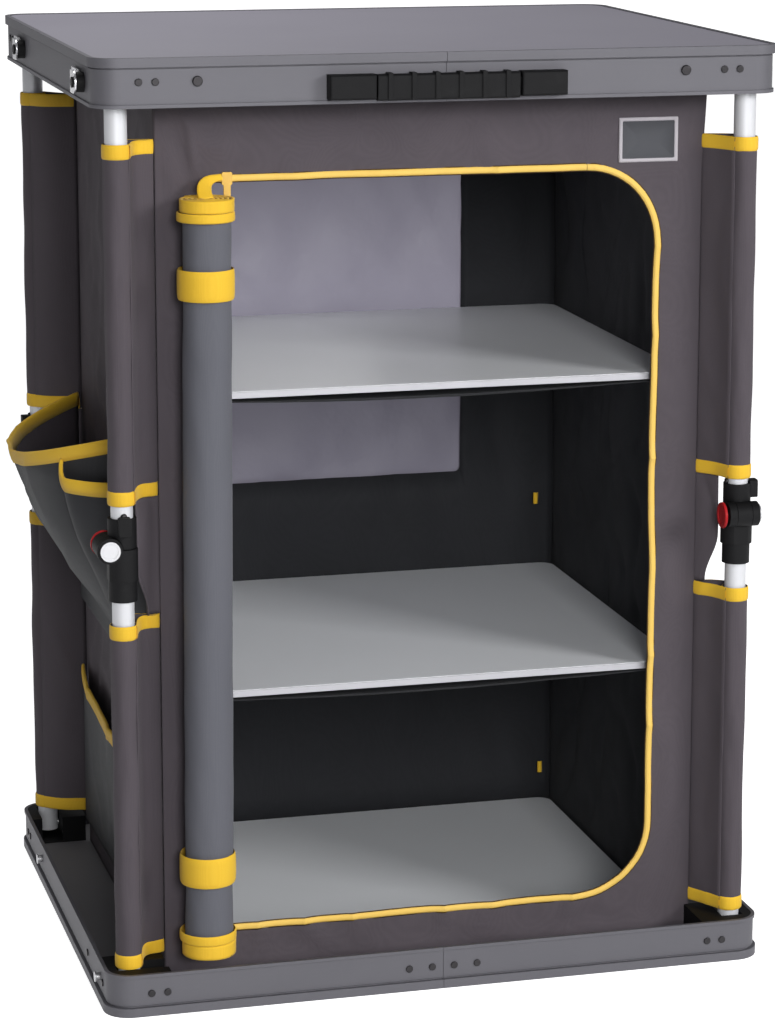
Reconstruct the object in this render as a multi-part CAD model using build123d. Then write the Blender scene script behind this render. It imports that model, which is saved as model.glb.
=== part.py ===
from build123d import *
import math
import os

# Camping cupboard, open. Millimetres, +Z up, +X right, front at -Y.
# The origin is the centre of the base, on the ground.
# Two aluminium trays, four legs that fold at the knee, and a sewn cabinet with shelves.

# Trays
frame_width = 600.0
frame_depth = 510.0
overall_height = 825.0
corner_radius = 24.0
least_corner_radius = 2.0
bottom_frame_height = 37.5
top_frame_height = 41.5
band_height = 8.0
band_width = 4.5
groove_height = 1.4
groove_depth = 3.4
web_inset = 2.5
web_wall = 2.0
edge_lip_height = 3.0
edge_lip_inset = 1.2
ledge_depth = 5.8
ledge_thickness = 2.0
ledge_width = 9.5
seam_gap = 0.3
floor_thickness = 4.0
board_thickness = 5.0
panel_clearance = 0.3
splice_length = 90.0
splice_thickness = 2.0
splice_clearance = 1.2

# Fasteners
rivet_depth = 20.0
rivet_head_radius = 3.2
rivet_head_height = 1.4
rivet_shank_radius = 1.6
rivet_grip = 4.0
dome_share = 0.6
corner_rivet_insets = (39.0, 53.0)
splice_rivet_places = (10.0, 31.0)
hem_screw_x = 212.0
hem_screw_head_radius = 4.4
hem_screw_head_height = 2.2
floor_rivet_y = -138.0

# Legs and their pivots
leg_inset_x = 24.0
leg_inset_y = 28.0
tube_radius = 9.5
tube_wall = 1.2
tube_end_past_pivot = 6.0
lower_pivot_depth = 12.5
knee_offset = 12.75
closed_gap = 0.5
pivot_pin_radius = 3.0
pivot_pin_half = 17.0
pin_clearance = 0.05
swing_clearance = 0.5
block_length_x = 57.0
block_length_y = 56.0
block_edge_gap = 0.2

# Knees
socket_radius = 12.25
socket_clearance = 0.1
fork_length = 46.0
fork_tube_stop = 14.0
collar_length = 28.0
tongue_length = 26.0
tongue_tube_stop = 10.0
eye_radius = 11.0
eye_clearance = 0.4
tongue_half = 6.8
side_clearance = 0.3
cheek_half = 14.0
stop_gap = 0.1
fold_gap = 0.5
axle_radius = 4.0
axle_head_radius = 8.6
axle_head_height = 2.0
head_rim = 2.0
head_recess_depth = 0.5
button_radius = 11.5
button_thickness = 2.5
button_travel = 2.5
button_margin = 0.4
button_rim = 3.5
button_recess_depth = 0.8
button_corner = 1.0
stem_radius = 2.5
stem_length = 10.5
lug_size = (11.0, 5.5, 16.0)
lug_rise = 12.5
lug_corner = 2.0

# Handle on the front of the top tray
cap_width = 40.0
cap_height = 20.5
cap_depth = 13.0
cap_wall = 1.6
handle_half = 103.0
handle_height = 27.0
grip_height = 22.0
grip_thickness = 9.0
grip_clearance = 0.4
grip_ribs = 6
rib_pitch = 20.4
tongue_height = 11.0
tongue_thickness = 3.0
tongue_reach = 24.0
grip_end_gap = 1.5
grip_drop = 1.0
grip_corner = 2.5
rib_half = 2.0
rib_rise = 1.2
cap_corner = 2.0

# Latches on both sides of the top tray
latch_places_y = (-200.0, 130.0)
latch_rise = 18.0
boss_radius = 8.5
boss_height = 7.0
plate_thickness = 1.5
plate_half_width = 9.5
plate_reach = 42.0
plate_step_at = 13.0
plate_gap = 0.3
stud_depth = 20.0
stud_radius = 3.5
stud_head_radius = 4.6
stud_head_height = 1.2
notch_clearance = 0.6
notch_lead = 1.0
latch_rivet_radius = 2.5
latch_rivet_head = 4.6
latch_rivet_grip = 1.5

# Cabinet of sewn cloth
cabinet_half_x = 239.0
cabinet_half_y = 198.0
cloth = 1.2
cloth_gap = 0.3
fold_depth = 2.5
back_fold_depth = 1.75
side_folds = 5
back_folds = 6
door_left = -199.0
door_right = 207.0
door_bottom = 48.0
door_head = 100.9
door_radius = 66.0
door_left_radius = 12.0
window_half = 141.0
window_head = 83.9
window_height = 369.0
window_overlap = 7.0
window_thickness = 0.8
zip_width = 7.0
zip_thickness = 2.4
slider_size = (9.0, 4.0, 11.0)
slider_pull = (6.0, 1.6, 27.0)
slider_corner = 1.5

# Rolled door, its straps, and the legs' sleeves
roll_radius = 24.0
roll_foot_x = -205.5
roll_head_x = -199.5
roll_below_door = 9.5
roll_below_head = 5.0
roll_band_height = 11.0
roll_band = 0.9
roll_band_gap = 3.0
roll_swells = ((0.0, 0.4), (0.12, 0.0), (0.5, 1.0), (0.87, 0.0), (1.0, 0.4))
low_strap_rise = 62.5
low_strap_height = 34.0
high_strap_drop = 67.0
high_strap_height = 26.0
strap_thickness = 1.2
sleeve_inner = 10.2
sleeve_outer = 11.7
sleeve_flange = 1.6
sleeve_band = 0.9
sleeve_band_height = 11.0
sleeve_foot_gap = 6.5
sleeve_below_knee = 64.5
sleeve_above_knee = 37.5
sleeve_head_gap = 31.5

# Shelves
shelf_thickness = 5.0
edging_wall = 1.0
edging_depth = 12.0
edging_drop = 0.5
floor_shelf_thickness = 6.5
bottom_compartment = 248.2
middle_compartment = 265.0
shelf_corner = 14.0
shelf_front_gap = 3.0

# Pockets on the left side
# Each pocket has (height, bulge) levels, a span from front to rear, and a mouth whose three heights
# are at its front, at its crest and at its rear.
big_pocket = ((285.0, 4.0), (330.0, 30.0), (390.0, 58.0), (450.0, 74.0), (505.0, 76.0))
big_span = (-186.0, 190.0)
big_crest_y = 6.0
big_mouth = (499.0, 452.0, 464.5)
small_pocket = ((318.0, 14.0), (380.0, 42.0), (470.0, 66.0))
small_span = (-184.0, -96.0)
small_crest_y = -130.0
small_mouth = (455.0, 449.0, 458.0)
low_pocket = ((62.0, 3.0), (120.0, 7.0), (195.0, 11.0))
low_span = (-186.0, 186.0)
low_crest_y = 0.0
low_mouth = (190.0, 184.0, 190.0)
pocket_cloth = 1.4
pocket_band = 0.9
pocket_band_height = 12.0
back_trim = 0.01

# Places that follow from the sizes above
half_width = frame_width / 2
half_depth = frame_depth / 2
wall_inset = web_inset + web_wall
lower_edge_z = overall_height - top_frame_height
lower_pivot_z = bottom_frame_height - lower_pivot_depth
upper_pivot_depth = 2 * knee_offset - lower_pivot_depth - closed_gap
upper_pivot_z = lower_edge_z + upper_pivot_depth
knee_z = (lower_pivot_z + upper_pivot_z) / 2
leg_half = (upper_pivot_z - lower_pivot_z) / 2
leg_x = half_width - leg_inset_x
leg_y = half_depth - leg_inset_y
floor_bottom = ledge_depth + ledge_thickness
floor_top = floor_bottom + floor_thickness
board_bottom = overall_height - ledge_depth
ledge_underside = board_bottom - ledge_thickness
tray_drop = 2 * leg_half - 2 * knee_offset
latch_z = lower_edge_z + latch_rise
latch_reach = latch_z - tray_drop - stud_depth
# The latch plate's low end stands clear of the frame's edge lip, which it crosses as it turns.
plate_lift = web_inset - edge_lip_inset + plate_gap
fork_slot_half = tongue_half + side_clearance
front_cloth_y = -cabinet_half_y
floor_cloth_bottom = floor_top + cloth_gap
floor_cloth_top = floor_cloth_bottom + cloth
floor_shelf_top = floor_cloth_top + floor_shelf_thickness
middle_shelf_top = floor_shelf_top + bottom_compartment
top_shelf_top = middle_shelf_top + middle_compartment
cloth_top = board_bottom - cloth_gap
door_top = cloth_top - door_head
window_top = cloth_top - window_head
window_bottom = window_top - window_height
roll_bottom = door_bottom - roll_below_door
roll_top = door_top - roll_below_head
lower_sleeve = (bottom_frame_height + sleeve_foot_gap, knee_z - sleeve_below_knee)
upper_sleeve = (knee_z + sleeve_above_knee, lower_edge_z - sleeve_head_gap)
low_strap_z = roll_bottom + low_strap_rise
high_strap_z = roll_top - high_strap_drop
strap_places = (
    (low_strap_z, low_strap_z + low_strap_height),
    (high_strap_z - high_strap_height, high_strap_z),
)

# Each leg: name, place, and the way it folds, each a quarter turn from the last.
legs = (
    ("front_left", -leg_x, -leg_y, 0.0),
    ("front_right", leg_x, -leg_y, 90.0),
    ("rear_right", leg_x, leg_y, 180.0),
    ("rear_left", -leg_x, leg_y, 270.0),
)


def save(name, *solids):
    """Writes one sub-part, as one solid or a group of separate ones."""
    shape = solids[0] if len(solids) == 1 else Compound(children=list(solids))
    shape.label = name
    export_step(shape, f"parts/{name}.step")


def block(x0, x1, y0, y1, z0, z1):
    """A box between two corners."""
    size = Box(x1 - x0, y1 - y0, z1 - z0)
    return Pos((x0 + x1) / 2, (y0 + y1) / 2, (z0 + z1) / 2) * size


def post(radius, x, y, z0, z1):
    """An upright round bar."""
    return Pos(x, y, (z0 + z1) / 2) * Cylinder(radius, z1 - z0)


def bar_y(radius, x, z, y0, y1):
    """A round bar along Y."""
    return Pos(x, (y0 + y1) / 2, z) * Rot(90, 0, 0) * Cylinder(radius, y1 - y0)


def bar_x(radius, y, z, x0, x1):
    """A round bar along X."""
    return Pos((x0 + x1) / 2, y, z) * Rot(0, 90, 0) * Cylinder(radius, x1 - x0)


def slab(inset, z0, z1):
    """The tray's rounded outline, drawn in by inset, between two heights."""
    radius = max(corner_radius - inset, least_corner_radius)
    outline = RectangleRounded(frame_width - 2 * inset, frame_depth - 2 * inset, radius)
    return Pos(0, 0, z0) * extrude(outline, z1 - z0)


def ring(outer, inner, z0, z1):
    """A band that follows the tray's outline."""
    return slab(outer, z0, z1) - slab(inner, z0 - 1, z1 + 1)


def on_leg(shape, x, y, turn):
    """Puts a piece drawn at the Z axis, folding towards +X, at its leg."""
    return Pos(x, y, 0) * Rot(0, 0, turn) * shape


# Tray frames
def tray_ring(height):
    """The frame's extrusion, with its outer face at Z 0 and its mating edge at height."""
    band_top = band_height
    groove_top = band_top + groove_height
    lip_bottom = height - edge_lip_height
    profile = ring(0, band_width, 0, band_top)
    profile += ring(groove_depth, wall_inset, band_top, groove_top)
    profile += ring(web_inset, wall_inset, groove_top, lip_bottom)
    profile += ring(edge_lip_inset, wall_inset, lip_bottom, height)
    profile += ring(band_width, wall_inset + ledge_width, ledge_depth, floor_bottom)
    return profile


def rivet(head_radius, head_height, grip):
    """A domed rivet along +Z, with its head above Z 0 and its shank below."""
    head = Cylinder(head_radius, head_height, align=(Align.CENTER, Align.CENTER, Align.MIN))
    head = fillet(head.edges().group_by(Axis.Z)[-1], head_height * dome_share)
    shank = Cylinder(rivet_shank_radius, grip, align=(Align.CENTER, Align.CENTER, Align.MAX))
    return head + shank


def face_places(depth_z, along_front, along_side):
    """Where rivets sit on the four faces: each one turned to point outwards."""
    places = []
    for x in along_front:
        places.append(Pos(x, -half_depth + web_inset, depth_z) * Rot(90, 0, 0))
        places.append(Pos(x, half_depth - web_inset, depth_z) * Rot(-90, 0, 0))
    for y in along_side:
        places.append(Pos(-half_width + web_inset, y, depth_z) * Rot(0, -90, 0))
        places.append(Pos(half_width - web_inset, y, depth_z) * Rot(0, 90, 0))
    return places


corner_rivets_x = [s * (half_width - inset) for inset in corner_rivet_insets for s in (-1, 1)]
splice_rivets_x = [s * place for place in splice_rivet_places for s in (-1, 1)]
rear_rivets_y = [half_depth - inset for inset in corner_rivet_insets]
bottom_rivets_y = rear_rivets_y + [floor_rivet_y, corner_rivet_insets[0] - half_depth]
bottom_rivet_places = face_places(rivet_depth, corner_rivets_x + splice_rivets_x, bottom_rivets_y)
top_rivet_z = overall_height - rivet_depth
top_rivet_places = face_places(top_rivet_z, corner_rivets_x + splice_rivets_x, rear_rivets_y)
hem_screw_places = face_places(top_rivet_z, (-hem_screw_x, hem_screw_x), ())

small_rivet = rivet(rivet_head_radius, rivet_head_height, rivet_grip)
hem_screw = rivet(hem_screw_head_radius, hem_screw_head_height, rivet_grip)
rivet_hole = Cylinder(rivet_shank_radius + pin_clearance, 2 * rivet_grip + 2)


def drill(shape, places):
    """Makes the fasteners' holes."""
    for place in places:
        shape -= place * rivet_hole
    return shape


def latch_holes(z, radius):
    """Bars along X through both sides, where the latches or their studs are fixed."""
    return [bar_x(radius, y, z, -half_width, half_width) for y in latch_places_y]


bottom_ring = drill(tray_ring(bottom_frame_height), bottom_rivet_places)
top_ring = Pos(0, 0, overall_height) * Rot(180, 0, 0) * tray_ring(top_frame_height)
top_ring = drill(top_ring, top_rivet_places + hem_screw_places)
for hole in latch_holes(stud_depth, latch_rivet_radius + pin_clearance):
    bottom_ring -= hole
for hole in latch_holes(latch_z, latch_rivet_radius + pin_clearance):
    top_ring -= hole

for name, whole in (("bottom_frame", bottom_ring), ("top_frame", top_ring)):
    left = whole & block(-half_width - 1, -seam_gap / 2, -half_depth, half_depth, -1, overall_height + 1)
    right = whole & block(seam_gap / 2, half_width + 1, -half_depth, half_depth, -1, overall_height + 1)
    save(f"{name}_left", left)
    save(f"{name}_right", right)


def splice_plates(z0, z1, places):
    """Plates behind the frame's front and rear seams."""
    plates = []
    for side in (-1, 1):
        outer = side * (half_depth - wall_inset)
        inner = outer - side * splice_thickness
        low, high = min(outer, inner), max(outer, inner)
        plate = block(-splice_length / 2, splice_length / 2, low, high, z0, z1)
        plates.append(drill(plate, places))
    return plates


save("bottom_splice_plates", *splice_plates(
    floor_top + splice_clearance, bottom_frame_height - splice_clearance, bottom_rivet_places))
save("top_splice_plates", *splice_plates(
    lower_edge_z + splice_clearance, ledge_underside - splice_clearance, top_rivet_places))
save("bottom_frame_rivets", *[place * small_rivet for place in bottom_rivet_places])
save("top_frame_rivets", *[place * small_rivet for place in top_rivet_places],
     *[place * hem_screw for place in hem_screw_places])

# Floor panel and table board
panel_inset = wall_inset + panel_clearance
save("floor_panel", slab(panel_inset, floor_bottom, floor_top))
save("table_board", slab(band_width + panel_clearance, board_bottom, board_bottom + board_thickness))


# Corner blocks and pivot pins
def leg_pin(z, radius, reach):
    """A pivot pin, drawn at the Z axis."""
    return bar_y(radius, 0, z, -reach, reach)


def corner_block(x, y, turn, z0, z1, pivot, opens_up):
    """The moulded block that fills a tray's corner and holds one leg's pivot."""
    side_x = math.copysign(1, x)
    side_y = math.copysign(1, y)
    inner_x = side_x * (half_width - block_length_x)
    inner_y = side_y * (half_depth - block_length_y)
    outer_x = side_x * half_width
    outer_y = side_y * half_depth
    corner = block(min(inner_x, outer_x), max(inner_x, outer_x),
                   min(inner_y, outer_y), max(inner_y, outer_y), z0, z1)
    body = slab(wall_inset, z0, z1) & corner
    half_slot = tube_radius + swing_clearance
    swing = math.hypot(tube_radius, tube_end_past_pivot) + swing_clearance
    past = frame_width
    if opens_up:
        slot = block(-swing, past, -half_slot, half_slot, pivot - swing, z1 + 1)
    else:
        slot = block(-swing, past, -half_slot, half_slot, z0 - 1, pivot + swing)
    body -= on_leg(slot, x, y, turn)
    return body - on_leg(leg_pin(pivot, pivot_pin_radius, pivot_pin_half), x, y, turn)


bottom_blocks = []
top_blocks = []
bottom_pins = []
top_pins = []
for name, x, y, turn in legs:
    bottom = corner_block(x, y, turn, floor_top, bottom_frame_height - block_edge_gap, lower_pivot_z, True)
    top = corner_block(x, y, turn, lower_edge_z + block_edge_gap, ledge_underside, upper_pivot_z, False)
    bottom = drill(bottom, bottom_rivet_places)
    top = drill(top, top_rivet_places)
    for hole in latch_holes(stud_depth, latch_rivet_radius + pin_clearance):
        bottom -= hole & ring(0, wall_inset + latch_rivet_grip, 0, overall_height)
    for hole in latch_holes(latch_z, latch_rivet_radius + pin_clearance):
        top -= hole & ring(0, wall_inset + latch_rivet_grip, 0, overall_height)
    bottom_blocks.append(bottom)
    top_blocks.append(top)
    bottom_pins.append(on_leg(leg_pin(lower_pivot_z, pivot_pin_radius, pivot_pin_half), x, y, turn))
    top_pins.append(on_leg(leg_pin(upper_pivot_z, pivot_pin_radius, pivot_pin_half), x, y, turn))
save("bottom_corner_blocks", *bottom_blocks)
save("top_corner_blocks", *top_blocks)
save("bottom_pivot_pins", *bottom_pins)
save("top_pivot_pins", *top_pins)


# Legs: two tubes joined by a knee with its pivot beside the tube
def tube(z0, z1, pivot):
    """A round tube with the pivot pin's hole through it."""
    shape = post(tube_radius, 0, 0, z0, z1) - post(tube_radius - tube_wall, 0, 0, z0 - 1, z1 + 1)
    hole = leg_pin(pivot, pivot_pin_radius + 2 * pin_clearance, 2 * tube_radius)
    return shape - hole


def around_knee(radius, y0, y1):
    """A bar on the knee's pivot axis."""
    return bar_y(radius, -knee_offset, knee_z, y0, y1)


def knee_fork():
    """The lower half: a socket for the tube, with two cheeks at the pivot."""
    z0 = knee_z - fork_length
    shape = post(socket_radius, 0, 0, z0, knee_z)
    collar = post(cheek_half, 0, 0, knee_z - collar_length, knee_z)
    limits = block(-knee_offset + fold_gap / 2, socket_radius, -cheek_half, cheek_half, z0, knee_z)
    shape += collar & limits
    shape += around_knee(eye_radius, -cheek_half, cheek_half)
    shape -= around_knee(eye_radius + eye_clearance, -fork_slot_half, fork_slot_half)
    shape -= post(tube_radius + socket_clearance, 0, 0, z0 - 1, knee_z - fork_tube_stop)
    # Above the pivot the cheeks' inner faces stay clear of the tongue's neck.
    neck = block(-knee_offset, socket_radius + 1, -fork_slot_half, fork_slot_half, knee_z, knee_z + eye_radius + 1)
    shape -= neck
    return shape - around_knee(axle_radius + pin_clearance, -cheek_half - 1, cheek_half + 1)


def knee_tongue():
    """The upper half: a socket for the tube, with an eye between the fork's cheeks."""
    z1 = knee_z + tongue_length
    shape = post(socket_radius, 0, 0, knee_z + stop_gap, z1)
    lug = block(-lug_size[0] / 2, lug_size[0] / 2, -socket_radius - lug_size[1], -socket_radius + 2,
                knee_z + lug_rise, knee_z + lug_rise + lug_size[2])
    shape += fillet(lug.edges().filter_by(Axis.Y), lug_corner)
    cheek_room = around_knee(eye_radius + eye_clearance, tongue_half, cheek_half + side_clearance)
    shape -= cheek_room
    shape -= mirror(cheek_room, Plane.XZ)
    shape += around_knee(eye_radius, -tongue_half, tongue_half)
    shape -= post(tube_radius + socket_clearance, 0, 0, knee_z + tongue_tube_stop, z1 + lug_size[2])
    return shape - around_knee(axle_radius + 2 * pin_clearance, -cheek_half, cheek_half)


def knee_axle():
    """The axle, with its broad head on one side and a bore for the button on the other."""
    shape = around_knee(axle_radius, -cheek_half, cheek_half)
    shape += around_knee(axle_head_radius, -cheek_half - axle_head_height, -cheek_half)
    recess_end = head_recess_depth - cheek_half - axle_head_height
    shape -= around_knee(axle_head_radius - head_rim, -cheek_half - axle_head_height, recess_end)
    bore_end = cheek_half + button_travel - stem_length
    return shape - around_knee(stem_radius + pin_clearance, bore_end - button_travel - 1, cheek_half + 1)


def release_button():
    """The round button that frees the knee, pushed in along the axle."""
    under = cheek_half + button_travel + button_margin
    cap = around_knee(button_radius, under, under + button_thickness)
    cap = fillet(cap.edges().group_by(Axis.Y)[-1], button_corner)
    top = under + button_thickness
    cap -= around_knee(button_radius - button_rim, top - button_recess_depth, top)
    return cap + around_knee(stem_radius, under - stem_length, under)


lower_tube = tube(lower_pivot_z - tube_end_past_pivot, knee_z - fork_tube_stop, lower_pivot_z)
upper_tube = tube(knee_z + tongue_tube_stop, upper_pivot_z + tube_end_past_pivot, upper_pivot_z)
leg_pieces = (
    ("lower_tube", lower_tube),
    ("upper_tube", upper_tube),
    ("knee_fork", knee_fork()),
    ("knee_tongue", knee_tongue()),
    ("knee_axle", knee_axle()),
    ("release_button", release_button()),
)
for name, x, y, turn in legs:
    for piece, shape in leg_pieces:
        save(f"{piece}_{name}", on_leg(shape, x, y, turn))

# Handle: two end caps on the frame, and a grip that pulls out between them
face_y = -half_depth + web_inset
handle_z = overall_height - handle_height
cap_inner = handle_half - cap_width


def end_cap(side):
    """A hollow cap that keeps one end of the grip."""
    x0, x1 = sorted((side * cap_inner, side * handle_half))
    z0, z1 = handle_z - cap_height / 2, handle_z + cap_height / 2
    shell = block(x0, x1, face_y - cap_depth, face_y, z0, z1)
    shell = fillet(shell.edges().group_by(Axis.Y)[0], cap_corner)
    room_half = tongue_height / 2 + cap_wall / 2
    room = block(x0 + cap_wall, x1 - cap_wall, face_y - cap_depth + cap_wall, face_y + 1,
                 handle_z - room_half, handle_z + room_half)
    mouth_x = sorted((side * (cap_inner - 1), side * (cap_inner + cap_wall + 1)))
    mouth = block(mouth_x[0], mouth_x[1], face_y - cap_depth + cap_wall, face_y + 1,
                  handle_z - room_half, handle_z + room_half)
    return shell - room - mouth


save("handle_end_caps", end_cap(-1), end_cap(1))
grip_back = face_y - rivet_head_height - grip_clearance
grip_front = grip_back - grip_thickness
grip_half = cap_inner - grip_end_gap
grip_z0 = handle_z - grip_height / 2 - grip_drop
grip = block(-grip_half, grip_half, grip_front, grip_back, grip_z0, grip_z0 + grip_height)
grip = fillet(grip.edges().filter_by(Axis.X), grip_corner)
for index in range(grip_ribs):
    rib_x = (index - (grip_ribs - 1) / 2) * rib_pitch
    rib = block(rib_x - rib_half, rib_x + rib_half, grip_front - rib_rise, grip_back,
                grip_z0 + 1, grip_z0 + grip_height + rib_rise)
    grip += rib
tongue_y = grip_back - tongue_thickness
grip += block(-cap_inner - tongue_reach, cap_inner + tongue_reach, tongue_y, grip_back,
              handle_z - tongue_height / 2, handle_z + tongue_height / 2)
save("handle_grip", grip)


# Latches: a boss on the tray's side, a plate that turns on it, and a stud on the lower tray
def latch_plate():
    """The plate, drawn at the X axis and reaching along +Y, with its outer face towards -X."""
    outer = -(boss_height + plate_gap + plate_thickness)
    inner = outer + plate_thickness
    low_outer = -(plate_lift + plate_thickness)
    low_inner = -plate_lift
    w = plate_half_width
    shape = bar_x(w, 0, 0, outer, inner)
    shape += block(outer, inner, 0, plate_step_at, -w, w)
    shape += block(outer, low_inner, plate_step_at, plate_step_at + plate_thickness, -w, w)
    shape += block(low_outer, low_inner, plate_step_at, plate_reach, -w, w)
    notch_half = stud_radius + notch_clearance
    notch = block(outer, 1, latch_reach - notch_half - notch_lead, latch_reach + notch_half, -w - 1, 0)
    notch += bar_x(notch_half, latch_reach, 0, outer, 1)
    shape -= notch
    return shape - bar_x(latch_rivet_radius + pin_clearance, 0, 0, outer - 1, 1)


def latch_boss():
    """The boss that carries the plate, with the rivet that holds both."""
    grip_end = web_wall + latch_rivet_grip
    outer = boss_height + plate_gap + plate_thickness + plate_gap
    shape = bar_x(boss_radius, 0, 0, -boss_height, 0)
    shape += bar_x(latch_rivet_radius, 0, 0, -outer, grip_end)
    return shape + bar_x(latch_rivet_head, 0, 0, -outer - stud_head_height, -outer)


def latch_stud():
    """The low stud that the plate's notch hooks."""
    neck = plate_lift + plate_thickness + plate_gap
    shape = bar_x(stud_radius, 0, 0, -neck, 0)
    shape += bar_x(stud_head_radius, 0, 0, -neck - stud_head_height, -neck)
    return shape + bar_x(latch_rivet_radius, 0, 0, 0, web_wall + latch_rivet_grip)


side_face_x = half_width - web_inset
bosses = []
studs = []
for side_name, side in (("left", -1), ("right", 1)):
    for place_name, place_y in zip(("front", "rear"), latch_places_y):
        parts = []
        for shape, z in ((latch_plate(), latch_z), (latch_boss(), latch_z), (latch_stud(), stud_depth)):
            placed = Pos(-side_face_x, place_y, z) * shape
            parts.append(placed if side < 0 else mirror(placed, Plane.YZ))
        save(f"latch_plate_{place_name}_{side_name}", parts[0])
        bosses.append(parts[1])
        studs.append(parts[2])
save("latch_bosses", *bosses)
save("latch_studs", *studs)


# Cabinet of sewn cloth
def wavy_side(start, end, folds, depth):
    """Arcs from start to end that swing out and in by depth."""
    edges = []
    across = (end - start) / folds
    out = Vector(across.Y, -across.X, 0).normalized()
    for index in range(folds):
        a = start + across * index
        b = start + across * (index + 1)
        if depth < 0.01:
            edges.append(Edge.make_line(a, b))
        else:
            swing = depth if index % 2 else -depth
            edges.append(Edge.make_three_point_arc(a, (a + b) * 0.5 + out * swing, b))
    return edges


def cabinet_section(inset, z, depth):
    """The cabinet's plan at one height: flat in front, folded at the sides and back."""
    hx = cabinet_half_x - inset
    hy = cabinet_half_y - inset
    corners = [Vector(-hx, -hy, z), Vector(hx, -hy, z), Vector(hx, hy, z), Vector(-hx, hy, z)]
    edges = wavy_side(corners[0], corners[1], 1, 0)
    edges += wavy_side(corners[1], corners[2], side_folds, depth)
    edges += wavy_side(corners[2], corners[3], back_folds, depth * back_fold_depth / fold_depth)
    edges += wavy_side(corners[3], corners[0], side_folds, depth)
    return Face(Wire(edges))


fold_heights = ((0.0, 1.0), (0.35, 1.0), (0.7, 0.75), (1.0, 0.2))


def cabinet_core(inset, z0, z1):
    """The cabinet's folded outline between two heights, drawn in by inset."""
    sections = []
    for share, fold in fold_heights:
        sections.append(cabinet_section(inset, z0 + (z1 - z0) * share, fold_depth * fold))
    return loft(sections, ruled=True)


def door_outline(grow, y0, y1):
    """The rounded doorway, larger all round by grow."""
    left, right = door_left - grow, door_right + grow
    low, high = door_bottom - grow, door_top + grow
    solid = block(left, right, y0, y1, low, high)
    right_edges = solid.edges().filter_by(Axis.Y).sort_by(Axis.X)[-2:]
    solid = fillet(right_edges, door_radius + grow)
    left_edges = solid.edges().filter_by(Axis.Y).sort_by(Axis.X)[:2]
    return fillet(left_edges, door_left_radius + grow)


cabinet = cabinet_core(0, floor_cloth_bottom, cloth_top)
hollow = cabinet_core(cloth, floor_cloth_bottom, cloth_top)
hollow -= block(-cabinet_half_x, cabinet_half_x, -cabinet_half_y, cabinet_half_y,
                floor_cloth_bottom - 1, floor_cloth_top)
cabinet -= hollow
cabinet -= door_outline(0, front_cloth_y - 5, front_cloth_y + 5)
cabinet -= block(-window_half, window_half, cabinet_half_y - 10, cabinet_half_y + 10,
                 window_bottom, window_top)
save("cabinet_cloth", cabinet)

window_y = cabinet_half_y + back_fold_depth + cloth_gap
save("back_window", block(-window_half - window_overlap, window_half + window_overlap,
                          window_y, window_y + window_thickness,
                          window_bottom - window_overlap, window_top + window_overlap))

# Zip: a band round the doorway, and its top run with the slider
zip_y = front_cloth_y - cloth_gap
zip_ring = door_outline(zip_width / 2, zip_y - zip_thickness, zip_y)
zip_ring -= door_outline(-zip_width / 2, zip_y - zip_thickness - 1, zip_y + 1)
run_x0 = door_left + door_left_radius
run_x1 = door_right - door_radius
run = block(run_x0, run_x1, zip_y - zip_thickness, zip_y,
            door_top - zip_width / 2, door_top + zip_width / 2)
run_room = block(run_x0 - cloth_gap, run_x1 + cloth_gap, zip_y - zip_thickness - 1, zip_y + 1,
                 door_top - zip_width, door_top + zip_width)
save("door_zip", zip_ring - run_room)
save("zip_top_run", run)
slider_x = run_x0 + slider_size[0]
slider_back = zip_y - zip_thickness - cloth_gap
slider = block(slider_x - slider_size[0] / 2, slider_x + slider_size[0] / 2,
               slider_back - slider_size[1], slider_back,
               door_top - slider_size[2] / 2, door_top + slider_size[2] / 2)
slider = fillet(slider.edges().filter_by(Axis.Y), slider_corner)
pull_y = slider_back - slider_size[1]
slider += block(slider_x - slider_pull[0] / 2, slider_x + slider_pull[0] / 2,
                pull_y, pull_y + slider_pull[1],
                door_top - slider_pull[2], door_top)
save("zip_slider", slider)

# Door, rolled up beside the doorway and held by two straps
strap_outer = roll_radius + cloth_gap + strap_thickness
roll_y = front_cloth_y - cloth_gap - zip_thickness - cloth_gap - strap_outer


def roll_x(z):
    """The roll leans a little: its centre at a height."""
    return roll_foot_x + (roll_head_x - roll_foot_x) * (z - roll_bottom) / (roll_top - roll_bottom)


roll_sections = []
for share, swell in roll_swells:
    z = roll_bottom + (roll_top - roll_bottom) * share
    roll_sections.append(Pos(roll_x(z), roll_y, z) * Circle(roll_radius + swell))
roll = loft(roll_sections)
band_pitch = roll_band_height + roll_band_gap
top_band = roll_top - roll_band_height
for z0 in (roll_bottom, roll_bottom + band_pitch, top_band - band_pitch, top_band):
    z1 = z0 + roll_band_height
    roll += post(roll_radius + roll_band, roll_x((z0 + z1) / 2), roll_y, z0, z1)
save("door_roll", roll)
straps = []
for z0, z1 in strap_places:
    x = roll_x((z0 + z1) / 2)
    strap = post(strap_outer, x, roll_y, z0, z1)
    strap -= post(strap_outer - strap_thickness, x, roll_y, z0 - 1, z1 + 1)
    straps.append(strap)
save("door_straps", *straps)


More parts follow.
